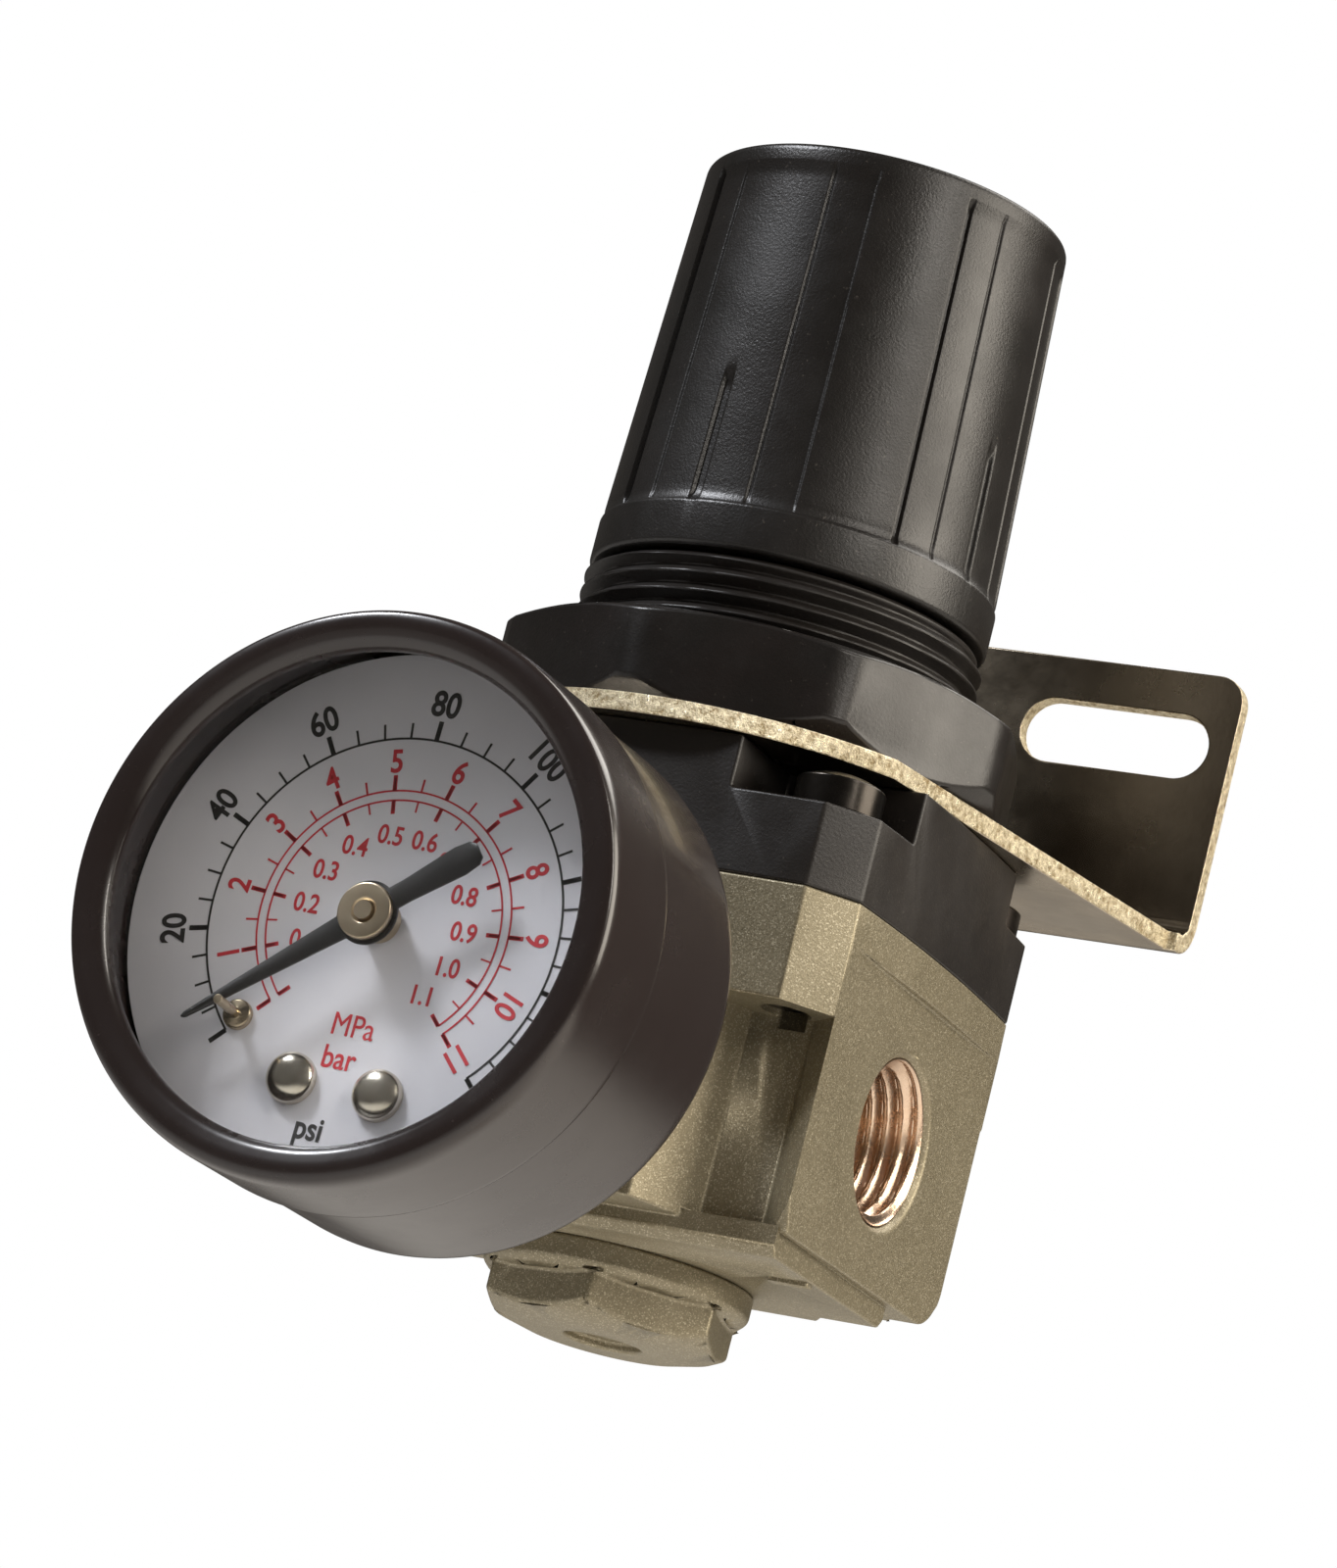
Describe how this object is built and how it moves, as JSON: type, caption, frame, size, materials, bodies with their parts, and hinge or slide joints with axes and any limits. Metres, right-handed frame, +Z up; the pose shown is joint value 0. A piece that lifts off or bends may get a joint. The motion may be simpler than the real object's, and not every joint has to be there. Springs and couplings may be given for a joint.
{
  "type": "air pressure regulator",
  "caption": "Compact compressed-air regulator with threaded ports, a lockable adjusting knob, a round dial gauge and an L-shaped wall bracket.",
  "frame": {"origin": "centre of the bracket's two slots, on the bracket face that touches the wall", "axes": "+Z up along the knob axis, +Y into the wall, so the gauge faces -Y; X runs through the air ports, with the outlet at +X"},
  "size_m": [0.056, 0.0925, 0.0983],
  "materials": {
    "body_paint": "metallic olive-gold paint over a die casting, fine grain",
    "bonnet_plastic": "black moulded plastic, satin",
    "nut_plastic": "black moulded plastic, semi-gloss",
    "knob_plastic": "black moulded plastic, fine spark grain",
    "bracket_plating": "plated sheet steel with sheared edges",
    "screw_black": "black oxide steel",
    "plated_steel": "zinc plated steel",
    "spring_steel": "bright spring wire",
    "brass": "turned brass",
    "aluminium": "pressed aluminium",
    "black_rubber": "nitrile rubber",
    "gauge_enamel": "black gloss enamel on drawn steel",
    "lens_clear": "clear moulded acrylic",
    "dial_white": "white printed aluminium",
    "bright_steel": "bright domed screw heads",
    "pointer_black": "black painted steel"
  },
  "bodies": {
    "root": {"body": "body_paint", "rear_gauge_port_plug": "plated_steel", "bottom_plug": "body_paint", "plug_seal_ring": "black_rubber", "valve_spring": "spring_steel", "diaphragm": "black_rubber", "adjusting_spring": "spring_steel", "bonnet": "bonnet_plastic", "bonnet_screws": "screw_black", "mounting_bracket": "bracket_plating", "panel_nut": "nut_plastic", "gauge_socket": "brass", "gauge_case": "gauge_enamel", "gauge_bezel": "gauge_enamel", "gauge_lens": "lens_clear", "lens_gasket": "black_rubber", "dial_plate": "dial_white", "dial_screws": "bright_steel", "pointer_stop_pin": "brass", "movement_back_plate": "brass", "movement_front_plate": "brass", "movement_pillars": "brass", "bourdon_tube": "brass", "hairspring": "spring_steel"},
    "adjuster": {"adjusting_screw": "plated_steel", "screw_retaining_ring": "spring_steel"},
    "knob": {"knob": "knob_plastic"},
    "follower": {"spring_follower": "brass"},
    "diaphragm_set": {"diaphragm_plate": "aluminium", "relief_seat": "brass"},
    "valve": {"valve_poppet": "brass", "valve_seal": "black_rubber"},
    "pointer_set": {"pointer": "pointer_black", "pointer_hub": "brass", "pinion_arbor": "brass"},
    "sector": {"sector_gear": "brass"},
    "tube_end": {"tube_end_lug": "brass", "movement_link": "brass"}
  },
  "joints": [
    {"name": "knob_turn", "type": "hinge", "parent": "root", "child": "adjuster", "pos_m": [0, -0.032, 0.0168], "axis": [0, 0, -1], "range_deg": [0, 1800]},
    {"name": "knob_pull", "type": "slide", "parent": "adjuster", "child": "knob", "axis": [0, 0, 1], "range_m": [0, 0.003]},
    {"name": "follower_slide", "type": "slide", "parent": "root", "child": "follower", "axis": [0, 0, -1], "range_m": [0, 0.0063], "deforming": ["adjusting_spring"]},
    {"name": "diaphragm_stroke", "type": "slide", "parent": "root", "child": "diaphragm_set", "axis": [0, 0, -1], "range_m": [0, 0.0012], "deforming": ["diaphragm"]},
    {"name": "valve_stroke", "type": "slide", "parent": "root", "child": "valve", "axis": [0, 0, -1], "range_m": [0, 0.0012], "deforming": ["valve_spring"]},
    {"name": "pointer_turn", "type": "hinge", "parent": "root", "child": "pointer_set", "pos_m": [0, -0.08675, -0.0441], "axis": [0, 1, 0], "range_deg": [0, 271]},
    {"name": "sector_turn", "type": "hinge", "parent": "root", "child": "sector", "pos_m": [-0.00034, -0.079, -0.05477], "axis": [0, 1, 0], "range_deg": [-48.5, 0]},
    {"name": "tube_end_slide", "type": "slide", "parent": "root", "child": "tube_end", "axis": [0.0314, 0, 0.9995], "range_m": [0, 0.00318], "deforming": ["bourdon_tube"]}
  ],
  "couplings": [
    {"joint": "follower_slide", "follows": "knob_turn", "m_per_rad": 0.00019894},
    {"joint": "valve_stroke", "follows": "diaphragm_stroke", "ratio": 1},
    {"joint": "pointer_turn", "follows": "tube_end_slide", "rad_per_m": 1480.5},
    {"joint": "sector_turn", "follows": "tube_end_slide", "rad_per_m": -263.2}
  ]
}
